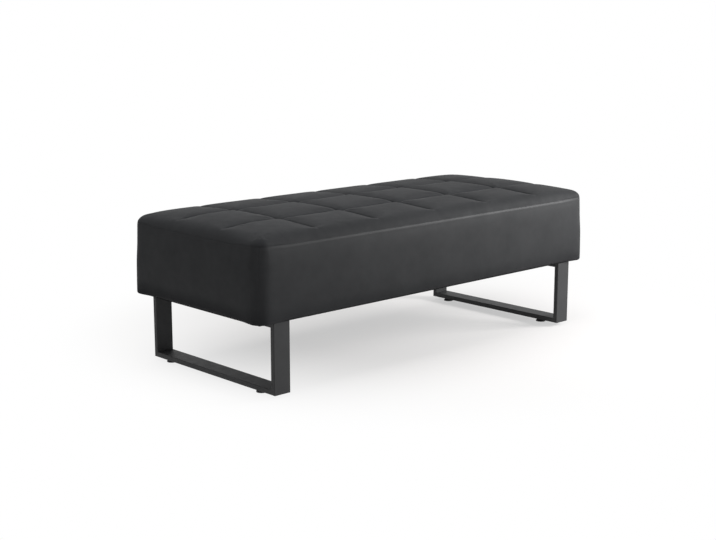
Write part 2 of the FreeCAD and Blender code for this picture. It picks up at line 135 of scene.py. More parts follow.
# Inside the cover
DECK_TOP = 0.3203
FOAM_HALF = (0.6915, 0.2915)
FOAM_RADIUS = 0.0355
FOAM_RINGS = [(0.0006, 0.4150), (0.0002, 0.4000), (0.0, 0.3600),
              (0.0002, 0.3260), (0.0012, 0.3218), (0.0030, 0.3206)]
FOAM_SIDE_GAP = 0.0085
FOAM_TOP_GAP = 0.0030
FOAM_DECK_GAP = 0.0002
WADDING_SECTION = [(0.0133, 0.2200), (0.0118, 0.2197), (0.0110, 0.2206), (0.0094, 0.2226),
                   (0.0074, 0.2270), (0.0056, 0.2450), (0.0048, 0.2800), (0.0048, 0.3120),
                   (0.0060, 0.3180), (0.0090, 0.3197), (0.0133, 0.3196)]
WADDING_PUFF = 0.0004
SHEET_LEVEL = 0.21645
SHEET_SAG = 0.0022
SHEET_CRUMPLE = 0.0009


def smooth(t):
    t = np.clip(t, 0.0, 1.0)
    return t * t * (3 - 2 * t)


def noise_at(points, scale, seed):
    shift = Vector((seed * 3.17, seed * 7.31, seed * 1.93))
    return np.array([noise.noise(Vector(p) * scale + shift) for p in points])


def mesh_object(name, points, faces, mat):
    mesh = bpy.data.meshes.new(name)
    mesh.from_pydata([tuple(p) for p in points], [], faces)
    mesh.validate()
    mesh.polygons.foreach_set("use_smooth", [True] * len(mesh.polygons))
    mesh.materials.append(mat)
    obj = bpy.data.objects.new(name, mesh)
    scene.collection.objects.link(obj)
    return obj


# Materials
def new_material(name):
    mat = bpy.data.materials.new(name)
    mat.use_nodes = True
    tree = mat.node_tree
    return mat, tree.nodes, tree.links, tree.nodes["Principled BSDF"]


def coords(nodes, links, stretch=(1, 1, 1)):
    where = nodes.new("ShaderNodeTexCoord")
    mapping = nodes.new("ShaderNodeMapping")
    mapping.inputs["Scale"].default_value = stretch
    links.new(where.outputs["Object"], mapping.inputs["Vector"])
    return mapping.outputs["Vector"]


def noise_tex(nodes, links, vector, scale, detail=3.0, rough=0.5, distort=0.0):
    tex = nodes.new("ShaderNodeTexNoise")
    tex.inputs["Scale"].default_value = scale
    tex.inputs["Detail"].default_value = detail
    tex.inputs["Roughness"].default_value = rough
    tex.inputs["Distortion"].default_value = distort
    links.new(vector, tex.inputs["Vector"])
    return tex.outputs["Fac"]


def ramp(nodes, links, fac, stops):
    node = nodes.new("ShaderNodeValToRGB")
    points = node.color_ramp.elements
    while len(points) < len(stops):
        points.new(0.5)
    for point, (at, colour) in zip(points, stops):
        point.position = at
        point.color = (*colour, 1.0)
    links.new(fac, node.inputs["Fac"])
    return node.outputs["Color"]


def spread(nodes, links, value, low, high):
    node = nodes.new("ShaderNodeMapRange")
    node.inputs["From Min"].default_value = 0.3
    node.inputs["From Max"].default_value = 0.7
    node.inputs["To Min"].default_value = low
    node.inputs["To Max"].default_value = high
    links.new(value, node.inputs["Value"])
    return node.outputs["Result"]


def bump(nodes, links, height, strength, distance, under=None):
    node = nodes.new("ShaderNodeBump")
    node.inputs["Strength"].default_value = strength
    node.inputs["Distance"].default_value = distance
    links.new(height, node.inputs["Height"])
    if under is not None:
        links.new(under, node.inputs["Normal"])
    return node.outputs["Normal"]


def leather():
    mat, nodes, links, shader = new_material("cover_leather")
    at = coords(nodes, links)
    mottle = noise_tex(nodes, links, at, 9.0, 5.0, 0.6)
    tones = [(0.3, (0.0165, 0.0171, 0.0184)), (0.7, (0.0225, 0.0232, 0.0247))]
    links.new(ramp(nodes, links, mottle, tones), shader.inputs["Base Color"])
    worn = noise_tex(nodes, links, at, 34.0, 4.0, 0.55)
    # The long sides, where people sit, are rubbed smoother towards the seam edge.
    # Each pair is a share of the height from From Min to From Max and how rubbed it is there.
    split = nodes.new("ShaderNodeSeparateXYZ")
    links.new(at, split.inputs["Vector"])
    band = nodes.new("ShaderNodeMapRange")
    band.inputs["From Min"].default_value = 0.2800
    band.inputs["From Max"].default_value = 0.4285
    links.new(split.outputs["Z"], band.inputs["Value"])
    shares = [(0.0, 0.0), (0.60, 0.20), (0.935, 0.50), (0.955, 0.95), (0.984, 0.95), (1.0, 0.0)]
    greys = [(height, (share, share, share)) for height, share in shares]
    rubbed = ramp(nodes, links, band.outputs["Result"], greys)
    off_middle = nodes.new("ShaderNodeMath")
    off_middle.operation = "ABSOLUTE"
    links.new(split.outputs["Y"], off_middle.inputs[0])
    at_side = nodes.new("ShaderNodeMapRange")
    at_side.inputs["From Min"].default_value = 0.268
    at_side.inputs["From Max"].default_value = 0.288
    links.new(off_middle.outputs["Value"], at_side.inputs["Value"])
    long_sides = nodes.new("ShaderNodeMath")
    long_sides.operation = "MULTIPLY"
    links.new(at_side.outputs["Result"], long_sides.inputs[1])
    smoother = nodes.new("ShaderNodeMath")
    smoother.operation = "MULTIPLY_ADD"
    smoother.inputs[1].default_value = -0.24
    links.new(rubbed, long_sides.inputs[0])
    links.new(long_sides.outputs["Value"], smoother.inputs[0])
    links.new(spread(nodes, links, worn, 0.70, 0.76), smoother.inputs[2])
    # The lower edge, which nobody touches, stays matt
    low_edge = nodes.new("ShaderNodeMapRange")
    low_edge.interpolation_type = "SMOOTHSTEP"
    low_edge.inputs["From Min"].default_value = 0.270
    low_edge.inputs["From Max"].default_value = 0.222
    links.new(split.outputs["Z"], low_edge.inputs["Value"])
    matt = nodes.new("ShaderNodeMath")
    matt.operation = "MULTIPLY_ADD"
    matt.inputs[1].default_value = 0.24
    links.new(low_edge.outputs["Result"], matt.inputs[0])
    links.new(smoother.outputs["Value"], matt.inputs[2])
    links.new(matt.outputs["Value"], shader.inputs["Roughness"])
    shader.inputs["Specular IOR Level"].default_value = 0.18
    pebble = nodes.new("ShaderNodeTexVoronoi")
    pebble.feature = "SMOOTH_F1"
    pebble.inputs["Scale"].default_value = 780.0
    pebble.inputs["Smoothness"].default_value = 0.35
    links.new(at, pebble.inputs["Vector"])
    crease = nodes.new("ShaderNodeTexVoronoi")
    crease.feature = "DISTANCE_TO_EDGE"
    crease.inputs["Scale"].default_value = 310.0
    links.new(at, crease.inputs["Vector"])
    soft = noise_tex(nodes, links, at, 46.0, 3.0, 0.5)
    first = bump(nodes, links, soft, 0.05, 0.0012)
    second = bump(nodes, links, crease.outputs["Distance"], 0.14, 0.0004, first)
    links.new(bump(nodes, links, pebble.outputs["Distance"], 0.22, 0.0002, second), shader.inputs["Normal"])
    return mat


def powder_coat():
    mat, nodes, links, shader = new_material("frame_paint")
    at = coords(nodes, links)
    tone = noise_tex(nodes, links, at, 14.0, 4.0)
    tones = [(0.3, (0.0310, 0.0315, 0.0326)), (0.7, (0.0370, 0.0376, 0.0388))]
    links.new(ramp(nodes, links, tone, tones), shader.inputs["Base Color"])
    peel = noise_tex(nodes, links, at, 620.0, 2.0)
    gloss = noise_tex(nodes, links, at, 40.0, 3.0)
    links.new(spread(nodes, links, gloss, 0.50, 0.58), shader.inputs["Roughness"])
    shader.inputs["Specular IOR Level"].default_value = 0.22
    links.new(bump(nodes, links, peel, 0.12, 0.0002), shader.inputs["Normal"])
    return mat


def plated_steel():
    mat, nodes, links, shader = new_material("zinc_steel")
    at = coords(nodes, links)
    tone = noise_tex(nodes, links, at, 160.0, 4.0)
    links.new(ramp(nodes, links, tone, [(0.3, (0.52, 0.53, 0.54)), (0.7, (0.66, 0.67, 0.68))]),
              shader.inputs["Base Color"])
    shader.inputs["Metallic"].default_value = 1.0
    brushed = noise_tex(nodes, links, at, 900.0, 2.0)
    links.new(spread(nodes, links, brushed, 0.26, 0.42), shader.inputs["Roughness"])
    return mat


def timber(name, along, light, dark, ring_scale):
    mat, nodes, links, shader = new_material(name)
    stretch = {"x": (0.06, 1, 1), "y": (1, 0.06, 1)}[along]
    at = coords(nodes, links, stretch)
    rings = noise_tex(nodes, links, at, ring_scale, 3.0, 0.5, 1.2)
    fibre = noise_tex(nodes, links, at, ring_scale * 9, 4.0, 0.65)
    colour = ramp(nodes, links, rings, [(0.32, dark), (0.47, light), (0.55, light), (0.70, dark)])
    links.new(colour, shader.inputs["Base Color"])
    links.new(spread(nodes, links, fibre, 0.55, 0.75), shader.inputs["Roughness"])
    links.new(bump(nodes, links, fibre, 0.25, 0.0004), shader.inputs["Normal"])
    return mat


def moulded_plastic():
    mat, nodes, links, shader = new_material("glide_plastic")
    at = coords(nodes, links)
    grain = noise_tex(nodes, links, at, 1400.0, 2.0)
    tone = noise_tex(nodes, links, at, 120.0, 3.0)
    links.new(ramp(nodes, links, tone, [(0.3, (0.012, 0.012, 0.013)), (0.7, (0.020, 0.020, 0.021))]),
              shader.inputs["Base Color"])
    links.new(spread(nodes, links, tone, 0.48, 0.60), shader.inputs["Roughness"])
    links.new(bump(nodes, links, grain, 0.2, 0.0002), shader.inputs["Normal"])
    return mat


def foam_stuff(name, light, dark, cell):
    mat, nodes, links, shader = new_material(name)
    at = coords(nodes, links)
    pores = nodes.new("ShaderNodeTexVoronoi")
    pores.inputs["Scale"].default_value = cell
    links.new(at, pores.inputs["Vector"])
    links.new(ramp(nodes, links, noise_tex(nodes, links, at, cell / 6, 4.0), [(0.3, dark), (0.7, light)]),
              shader.inputs["Base Color"])
    links.new(spread(nodes, links, pores.outputs["Distance"], 0.85, 0.95), shader.inputs["Roughness"])
    links.new(bump(nodes, links, pores.outputs["Distance"], 0.5, 0.0006), shader.inputs["Normal"])
    return mat


def nonwoven():
    mat, nodes, links, shader = new_material("dust_cloth")
    at = coords(nodes, links)
    fibre = noise_tex(nodes, links, at, 520.0, 5.0, 0.7, 2.0)
    dimple = nodes.new("ShaderNodeTexVoronoi")
    dimple.inputs["Scale"].default_value = 420.0
    dimple.inputs["Randomness"].default_value = 0.15
    links.new(at, dimple.inputs["Vector"])
    links.new(ramp(nodes, links, fibre, [(0.3, (0.016, 0.016, 0.017)), (0.7, (0.034, 0.034, 0.035))]),
              shader.inputs["Base Color"])
    shader.inputs["Specular IOR Level"].default_value = 0.2
    links.new(spread(nodes, links, fibre, 0.85, 0.95), shader.inputs["Roughness"])
    links.new(bump(nodes, links, dimple.outputs["Distance"], 0.4, 0.0005), shader.inputs["Normal"])
    return mat


def twisted_twine():
    mat, nodes, links, shader = new_material("twine")
    at = coords(nodes, links, (1, 1, 0.6))
    strands = nodes.new("ShaderNodeTexWave")
    strands.bands_direction = "DIAGONAL"
    strands.inputs["Scale"].default_value = 160.0
    strands.inputs["Distortion"].default_value = 1.0
    links.new(at, strands.inputs["Vector"])
    tones = [(0.2, (0.32, 0.28, 0.21)), (0.8, (0.52, 0.47, 0.37))]
    links.new(ramp(nodes, links, strands.outputs["Fac"], tones), shader.inputs["Base Color"])
    links.new(spread(nodes, links, strands.outputs["Fac"], 0.75, 0.9), shader.inputs["Roughness"])
    links.new(bump(nodes, links, strands.outputs["Fac"], 0.6, 0.0005), shader.inputs["Normal"])
    return mat


def sewing_thread():
    mat, nodes, links, shader = new_material("sewing_thread")
    at = coords(nodes, links)
    twist = nodes.new("ShaderNodeTexWave")
    twist.bands_direction = "DIAGONAL"
    twist.inputs["Scale"].default_value = 900.0
    twist.inputs["Distortion"].default_value = 0.6
    links.new(at, twist.inputs["Vector"])
    tones = [(0.2, (0.010, 0.010, 0.011)), (0.8, (0.022, 0.022, 0.023))]
    links.new(ramp(nodes, links, twist.outputs["Fac"], tones), shader.inputs["Base Color"])
    links.new(spread(nodes, links, twist.outputs["Fac"], 0.55, 0.70), shader.inputs["Roughness"])
    links.new(bump(nodes, links, twist.outputs["Fac"], 0.5, 0.0003), shader.inputs["Normal"])
    return mat


LEATHER = leather()
PAINT = powder_coat()
STEEL = plated_steel()
PINE_X = timber("pine_lengthwise", "x", (0.60, 0.42, 0.22), (0.46, 0.28, 0.12), 60.0)
PINE_Y = timber("pine_crosswise", "y", (0.60, 0.42, 0.22), (0.46, 0.28, 0.12), 60.0)
PLY = timber("plywood", "x", (0.58, 0.43, 0.26), (0.48, 0.33, 0.18), 34.0)
PLASTIC = moulded_plastic()
FOAM = foam_stuff("foam", (0.72, 0.66, 0.50), (0.60, 0.53, 0.38), 900.0)
WADDING = foam_stuff("wadding", (0.78, 0.78, 0.76), (0.66, 0.66, 0.64), 500.0)
CLOTH = nonwoven()
TWINE = twisted_twine()
THREAD = sewing_thread()

FINISHES = {
    "front_rail": PINE_X, "rear_rail": PINE_X, "corner_blocks": PINE_X,
    "left_end_rail": PINE_Y, "right_end_rail": PINE_Y,
    "left_mounting_rail": PINE_Y, "right_mounting_rail": PINE_Y,
    "deck_panel": PLY, "tuft_toggles": PLASTIC, "tuft_twines": TWINE,
}
for number in range(1, 5):
    FINISHES["cross_brace_%d" % number] = PINE_Y
for part in ("frame_screws", "deck_screws", "leg_bolts", "leg_washers", "tee_nuts", "foot_inserts",
             "dust_cover_staples"):
    FINISHES[part] = STEEL
for side in ("left", "right"):
    for part in ("front_upright", "rear_upright", "bottom_rail", "top_rail"):
        FINISHES["%s_%s" % (side, part)] = PAINT
    for end in ("front", "rear"):
        FINISHES["%s_%s_foot_pad" % (end, side)] = PLASTIC
        FINISHES["%s_%s_foot_stud" % (end, side)] = STEEL
for node, finish in FINISHES.items():
    mesh = frame["nodes"][node].data
    if mesh.materials:
        for index in range(len(mesh.materials)):
            mesh.materials[index] = finish
    else:
        mesh.materials.append(finish)


# Plan of the seat
def plan_grid(xs, ys, half_x, half_y, radius):
    # Grid points with the square corners drawn round, and each point's distance inside the outline
    x, y = np.meshgrid(xs, ys, indexing="ij")
    past_x = np.abs(x) - (half_x - radius)
    past_y = np.abs(y) - (half_y - radius)
    corner = (past_x > 0) & (past_y > 0)
    reach = np.maximum(past_x, past_y)
    shrink = np.where(corner, reach / np.where(corner, np.hypot(past_x, past_y), 1), 1)
    px = np.where(corner, np.sign(x) * (half_x - radius + past_x * shrink), x)
    py = np.where(corner, np.sign(y) * (half_y - radius + past_y * shrink), y)
    inside = np.where(corner, radius - reach, np.minimum(half_x - np.abs(x), half_y - np.abs(y)))
    return px, py, np.maximum(inside, 0.0)


def outline_of(count_x, count_y):
    # Grid places round the edge, counterclockwise from the front left
    loop = [(i, 0) for i in range(count_x - 1)]
    loop += [(count_x - 1, j) for j in range(count_y - 1)]
    loop += [(i, count_y - 1) for i in range(count_x - 1, 0, -1)]
    loop += [(0, j) for j in range(count_y - 1, 0, -1)]
    return loop


def outward(px, py, half_x, half_y, radius):
    past_x = abs(px) - (half_x - radius)
    past_y = abs(py) - (half_y - radius)
    if past_x > 1e-7 and past_y > 1e-7:
        size = math.hypot(past_x, past_y)
        return math.copysign(past_x / size, px), math.copysign(past_y / size, py)
    if half_x - abs(px) < half_y - abs(py):
        return math.copysign(1.0, px), 0.0
    return 0.0, math.copysign(1.0, py)


def crown(x, y):
    drop = END_DROP * np.clip((np.abs(x) - (HALF_LENGTH - END_ROLL)) / END_ROLL, 0, None) ** 2
    middle = CROWN_LEVEL - drop
    side = CROWN_LEVEL - np.hypot(EDGE_DROP, drop)
    return middle - (middle - side) * (y / HALF_DEPTH) ** 2


def near_corner(before):
    # 0 along a side, 1 round the corner; before is the distance to where the corner begins
    return smooth((CORNER_REACH - before) / CORNER_EASE)


def seam_lift(px, py):
    # The seam runs up a little towards each corner of the seat
    to_x = TOP_HALF[0] - TOP_RADIUS - np.abs(px)
    to_y = TOP_HALF[1] - TOP_RADIUS - np.abs(py)
    along_side = TOP_HALF[1] - np.abs(py) < TOP_HALF[0] - np.abs(px)
    return CORNER_LIFT * near_corner(np.where(along_side, to_x, to_y))


def nearest(values, lines):
    return np.min(np.abs(values[..., None] - np.array(lines)), axis=-1)


def graded(low, high, steps, tight):
    t = np.linspace(0, 1, steps + 1)
    return low + (high - low) * ((1 - tight) * t + tight * t * t * (3 - 2 * t))


def stations(half, lines, edge_steps, steps):
    edge = EDGE_ROLL * (1 - np.cos(np.linspace(0, math.pi / 2, edge_steps + 1)))
    marks = [-half + EDGE_ROLL] + list(lines) + [half - EDGE_ROLL]
    values = list(-half + edge)
    for low, high in zip(marks, marks[1:]):
        values += list(graded(low, high, steps, 0.62))[1:]
    values += list((half - edge)[::-1])[1:]
    return np.array(values)


def under_top(x, y, depth_in):
    # Underside of the quilted top: it follows the crown and comes down to the seam at the edge
    rise = np.clip((depth_in - UNDER_INSET) / UNDER_ROLL, 0, 1)
    return UNDER_LEVEL + (crown(x, y) - TOP_THICKNESS - UNDER_LEVEL) * np.sqrt(1 - (1 - rise) ** 2)


def grid_faces(count_x, count_y, start, up):
    faces = []
    for i in range(count_x - 1):
        for j in range(count_y - 1):
            a = start + i * count_y + j
            quad = (a, a + count_y, a + count_y + 1, a + 1)
            faces.append(quad if up else quad[::-1])
    return faces


def closed_form(xs, ys, half, radius, top, rings, bottom, step, lift=None):
    # Top grid, rings down its edge and a coarser underside, as one closed mesh
    half_x, half_y = half
    count_x, count_y = len(xs), len(ys)
    points = [tuple(p) for p in top.reshape(-1, 3)]
    faces = grid_faces(count_x, count_y, 0, True)
    px, py, _ = plan_grid(xs, ys, half_x, half_y, radius)
    loop = outline_of(count_x, count_y)
    upper = [i * count_y + j for i, j in loop]
    edge = [(px[i, j], py[i, j], *outward(px[i, j], py[i, j], half_x, half_y, radius))
            for i, j in loop]
    size = len(loop)
    for inset, level in rings:
        lower = []
        for x, y, nx, ny in edge:
            lower.append(len(points))
            rise = 0.0 if lift is None else float(lift(x, y))
            points.append((x - nx * inset, y - ny * inset, level + rise))
        for k in range(size):
            n = (k + 1) % size
            faces.append((lower[k], lower[n], upper[n], upper[k]))
        upper = lower
    inset = rings[-1][0] + 0.004
    base_x = xs[::step] * (half_x - inset) / half_x
    base_y = ys[::step] * (half_y - inset) / half_y
    bx, by, depth = plan_grid(base_x, base_y, half_x - inset, half_y - inset, radius - inset)
    start = len(points)
    levels = bottom(bx, by, depth + inset)
    points += [tuple(p) for p in np.stack([bx, by, levels], axis=-1).reshape(-1, 3)]
    faces += grid_faces(len(base_x), len(base_y), start, False)
    inner = [start + i * len(base_y) + j for i, j in outline_of(len(base_x), len(base_y))]
    for q in range(len(inner)):
        n = (q + 1) % len(inner)
        outer = [upper[(q * step + k) % size] for k in range(step + 1)]
        middle = step // 2
        faces += [(inner[q] if k < middle else inner[n], outer[k + 1], outer[k]) for k in range(step)]
        faces.append((inner[q], inner[n], outer[middle]))
    return points, faces


def settle(obj, held, limit, pressure):
    # Cloth pressed out from inside, sewn places held: returns how far each point moved
    count = len(obj.data.vertices)
    rest = np.empty(count * 3)
    obj.data.vertices.foreach_get("co", rest)
    group = obj.vertex_groups.new(name="sewn")
    group.add([int(v) for v in held], 1.0, "REPLACE")
    cloth = obj.modifiers.new("cloth", "CLOTH")
    cloth.settings.quality = 6
    cloth.settings.mass = 0.35
    cloth.settings.tension_stiffness = 20
    cloth.settings.compression_stiffness = 20
    cloth.settings.shear_stiffness = 10
    cloth.settings.bending_stiffness = 0.8
    cloth.settings.use_pressure = True
    cloth.settings.uniform_pressure_force = pressure
    cloth.settings.vertex_group_mass = "sewn"
    cloth.settings.effector_weights.gravity = 0
    cloth.collision_settings.use_collision = False
    cloth.collision_settings.use_self_collision = False
    cloth.point_cache.frame_start = 1
    cloth.point_cache.frame_end = 20
    for number in range(1, 21):
        scene.frame_set(number)
    shape = obj.evaluated_get(bpy.context.evaluated_depsgraph_get())
    moved = np.empty(count * 3)
    shape.data.vertices.foreach_get("co", moved)
    scene.frame_set(1)
    obj.modifiers.remove(cloth)
    obj.vertex_groups.remove(group)
    change = (moved - rest).reshape(-1, 3)
    far = np.maximum(np.linalg.norm(change, axis=1), 1e-12)
    return change * (limit * np.tanh(far / limit) / far)[:, None]


def between(values):
    # Doubles a grid along its first axis, with a smooth curve through the given points
    padded = np.concatenate([2 * values[:1] - values[1:2], values, 2 * values[-1:] - values[-2:-1]])
    middle = (9 * (padded[1:-2] + padded[2:-1]) - padded[:-3] - padded[3:]) / 16
    out = np.empty((2 * len(values) - 1, *values.shape[1:]))
    out[::2] = values
    out[1::2] = middle
    return out


# Quilted top
TOP_INSET = FOOT_INSET + DRAFT + TOP_GAP
TOP_HALF = (HALF_LENGTH - TOP_INSET, HALF_DEPTH - TOP_INSET)
TOP_RADIUS = CORNER_RADIUS - TOP_INSET + WIDER_HIGH
fine_x = stations(TOP_HALF[0], CHANNEL_X, 16, 52)
fine_y = stations(TOP_HALF[1], CHANNEL_Y, 16, 48)


def top_surface(xs, ys):
    px, py, depth = plan_grid(xs, ys, *TOP_HALF, TOP_RADIUS)
    rise = RIM_START + (1 - RIM_START) * np.clip(depth / EDGE_ROLL, 0, 1)
    start = math.sqrt(1 - (1 - RIM_START) ** 2)
    rim = RIM_LEVEL + seam_lift(px, py)
    round_over = np.sqrt(1 - (1 - rise) ** 2) - start
    level = rim + (crown(px, py) - rim) * round_over / (1 - start)
    across = 1 - np.clip(nearest(px, CHANNEL_X) / CHANNEL_HALF_WIDTH, 0, 1)
    along = 1 - np.clip(nearest(py, CHANNEL_Y) / CHANNEL_HALF_WIDTH, 0, 1)
    across, along = across ** 2, along ** 2
    fade = smooth((depth - CHANNEL_END) / CHANNEL_FADE)
    level = level - CHANNEL_DEPTH * (across + along - across * along) * fade
    return px, py, depth, level


def channel_stitches(top, depth):
    # One row of stitches lying in the bottom of each sewn channel
    rows = [(int(np.argmin(np.abs(fine_x - x))), None) for x in CHANNEL_X]
    rows += [(None, int(np.argmin(np.abs(fine_y - y)))) for y in CHANNEL_Y]
    points, faces = [], []
    for i, j in rows:
        line, inside = (top[i], depth[i]) if j is None else (top[:, j], depth[:, j])
        line = line[inside > 0.030]
        run = np.concatenate([[0], np.cumsum(np.linalg.norm(np.diff(line, axis=0), axis=1))])
        for middle in np.arange(STITCH_MARGIN, run[-1] - STITCH_MARGIN, STITCH_PITCH):
            start = len(points)
            here, there = (np.array([np.interp(middle + side, run, line[:, k]) for k in range(3)])
                           for side in (-STITCH_HALF_LENGTH, STITCH_HALF_LENGTH))
            ahead = (there - here) / np.linalg.norm(there - here)
            across = np.cross((0, 0, 1), ahead)
            across = across / np.linalg.norm(across)
            rise = np.cross(ahead, across)
            for share in (-1.0, -0.7, 0.0, 0.7, 1.0):
                size = math.sqrt(1.04 - share * share)
                lengthways = ahead * (STITCH_HALF_LENGTH * share)
                centre = (here + there) / 2 + lengthways + rise * (STITCH_RISE * size)
                for k in range(6):
                    turn = k * math.pi / 3
                    sideways = across * (STITCH_HALF_WIDTH * size * math.cos(turn))
                    points.append(centre + sideways + rise * (STITCH_HALF_HEIGHT * size * math.sin(turn)))
            for ring in range(4):
                a = start + 6 * ring
                faces += [(a + k, a + (k + 1) % 6, a + 6 + (k + 1) % 6, a + 6 + k) for k in range(6)]
            faces += [tuple(range(start + 5, start - 1, -1)), tuple(range(start + 24, start + 30))]
    obj = mesh_object("channel_stitches", points, faces, THREAD)
    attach(obj, "bench")


def quilted_top():
    cx, cy = fine_x[::2], fine_y[::2]
    px, py, depth, level = top_surface(cx, cy)
    pressed = np.zeros((len(cx), len(cy), 3))
    points = np.stack([px, py, level], axis=-1).reshape(-1, 3)
    trial = mesh_object("top_trial", points, grid_faces(len(cx), len(cy), 0, True), LEATHER)
    sewn = (nearest(px, CHANNEL_X) < SEWN_HALF_WIDTH) | (nearest(py, CHANNEL_Y) < SEWN_HALF_WIDTH)
    held = np.flatnonzero(((depth < 0.006) | (sewn & (depth > 0.022))).reshape(-1))
    pressed = settle(trial, held, TOP_PRESS_LIMIT, TOP_PRESSURE).reshape(len(cx), len(cy), 3)
    mesh = trial.data
    bpy.data.objects.remove(trial)
    bpy.data.meshes.remove(mesh)
    change = between(between(pressed).swapaxes(0, 1)).swapaxes(0, 1)
    px, py, depth, level = top_surface(fine_x, fine_y)
    reach = smooth((depth - 0.020) / 0.034)
    to_x, to_y = nearest(px, CHANNEL_X), nearest(py, CHANNEL_Y)
    sewn = np.exp(-(to_x / SEWN_WIDTH) ** 2) + np.exp(-(to_y / SEWN_WIDTH) ** 2)
    level = level - SEWN_DEPTH * np.minimum(sewn, 1.0) * reach
    pull = np.exp(-(to_x ** 2 + to_y ** 2) / (2 * TUFT_WIDTH ** 2))
    level = level - TUFT_DEPTH * pull
    flat = np.stack([px, py, np.zeros_like(px)], axis=-1).reshape(-1, 3)
    ripple = noise_at(flat * np.array([1.0, 0.35, 1.0]), 62.0, 3).reshape(px.shape)
    gather = noise_at(flat * np.array([0.35, 1.0, 1.0]), 62.0, 5).reshape(px.shape)
    by_x = np.exp(-(to_x / GATHER_WIDTH) ** 2) * smooth(to_x / GATHER_START)
    by_y = np.exp(-(to_y / GATHER_WIDTH) ** 2) * smooth(to_y / GATHER_START)
    swell = noise_at(flat, 6.5, 8).reshape(px.shape)
    level = level + reach * GATHER_HEIGHT * (gather * by_x + ripple * by_y + swell)
    # Where a channel runs out at the edge the cover is pinched into a short fold
    at_end = np.exp(-((depth - PINCH_INSIDE) / PINCH_LENGTH) ** 2)
    pinch_x = np.exp(-(to_x / PINCH_WIDTH) ** 2) * at_end
    pinch_y = np.exp(-(to_y / PINCH_WIDTH) ** 2) * at_end
    level = level - PINCH_DEPTH * np.maximum(pinch_x, pinch_y)
    top = np.stack([px, py, level], axis=-1) + change
    points, faces = closed_form(fine_x, fine_y, TOP_HALF, TOP_RADIUS, top, TOP_RINGS,
                                lambda x, y, d: under_top(x, y, d + TOP_INSET), 8, seam_lift)
    obj = mesh_object("quilted_top", points, faces, LEATHER)
    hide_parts("tufted_top")
    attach(obj, "bench")
    channel_stitches(top, depth)


# Side panels
def panel_profile(corner):
    # From the hem up to the seam; the foot is fuller at the corners, where the timber frame is near
    round_off = BOTTOM_ROUND + (CORNER_ROUND - BOTTOM_ROUND) * corner
    lower = LOWER_ROLL * (1 - corner)
    foot = FOOT_INSET * (1 - corner / 2) + lower
    points = [(HEM_WIDTH + (foot + round_off - HEM_WIDTH) * k / 4, HEM_LEVEL) for k in range(4)]
    for k in range(9):
        turn = k * math.pi / 16
        points.append((foot + round_off * (1 - math.sin(turn)), HEM_LEVEL + round_off * (1 - math.cos(turn))))
    low = HEM_LEVEL + round_off
    high = PANEL_TOP
    shares = [k / 26 for k in range(1, 25)] + [0.94, 0.955, 0.97, 0.985, 1.0]
    for share in shares:
        z = low + (high - low) * share
        bulge = PANEL_BULGE * 4 * share * (1 - share) * (1 - corner / 2)
        roll = lower * max(0.0, 1 - (z - low) / LOWER_ROLL_HEIGHT) ** 2
        lean = SEAM_LEAN * max(0.0, (z - high + SEAM_LEAN_HEIGHT) / SEAM_LEAN_HEIGHT) ** 2
        start = FOOT_INSET * (1 - corner * (1 - share) / 2)
        points.append((start + DRAFT * share + roll + lean - bulge, z))
    edge = points[-1][0]
    for k in range(1, 7):
        turn = k * math.pi / 12
        points.append((edge + LIP * (1 - math.cos(turn)), high + LIP * math.sin(turn)))
    points += [(edge + LIP + step, high + LIP - FLANGE_DROP) for step in FLANGE_STEPS]
    lift = CORNER_LIFT * corner
    raised = []
    for inset, z in points:
        share = min(1.0, max(0.0, (z - low) / (high - low)))
        raised.append((inset, z + lift * share ** 2))
    return raised


def corner_run(steps):
    # Half a corner, closer steps towards the seam in its middle
    return [math.pi / 4 * (1 - (1 - k / steps) ** 1.8) for k in range(steps + 1)]


